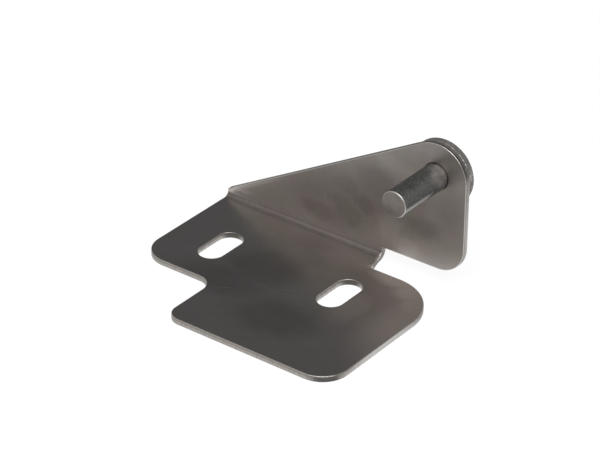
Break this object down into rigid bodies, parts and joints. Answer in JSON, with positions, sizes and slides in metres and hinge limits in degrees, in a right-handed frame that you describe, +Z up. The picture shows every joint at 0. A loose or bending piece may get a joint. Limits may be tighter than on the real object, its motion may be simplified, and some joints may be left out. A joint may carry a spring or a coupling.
{
  "type": "door hinge bracket",
  "caption": "Folded sheet hinge bracket with two slotted fixing holes in its base plate and a headed pivot pin through its upright tapering flange.",
  "frame": {"origin": "on the underside of the base plate, midway between the centres of the two fixing slots", "axes": "+X along the bend towards the pin, +Y towards the upright flange, +Z up from the base plate"},
  "size_m": [0.1, 0.0795, 0.0519],
  "materials": {
    "bracket": "satin stainless sheet with bare sheared edges",
    "hinge_pin": "turned steel, darkened along the shank and bare at its free end and head"
  },
  "bodies": {
    "root": {"bracket": "bracket", "hinge_pin": "hinge_pin"}
  },
  "joints": []
}
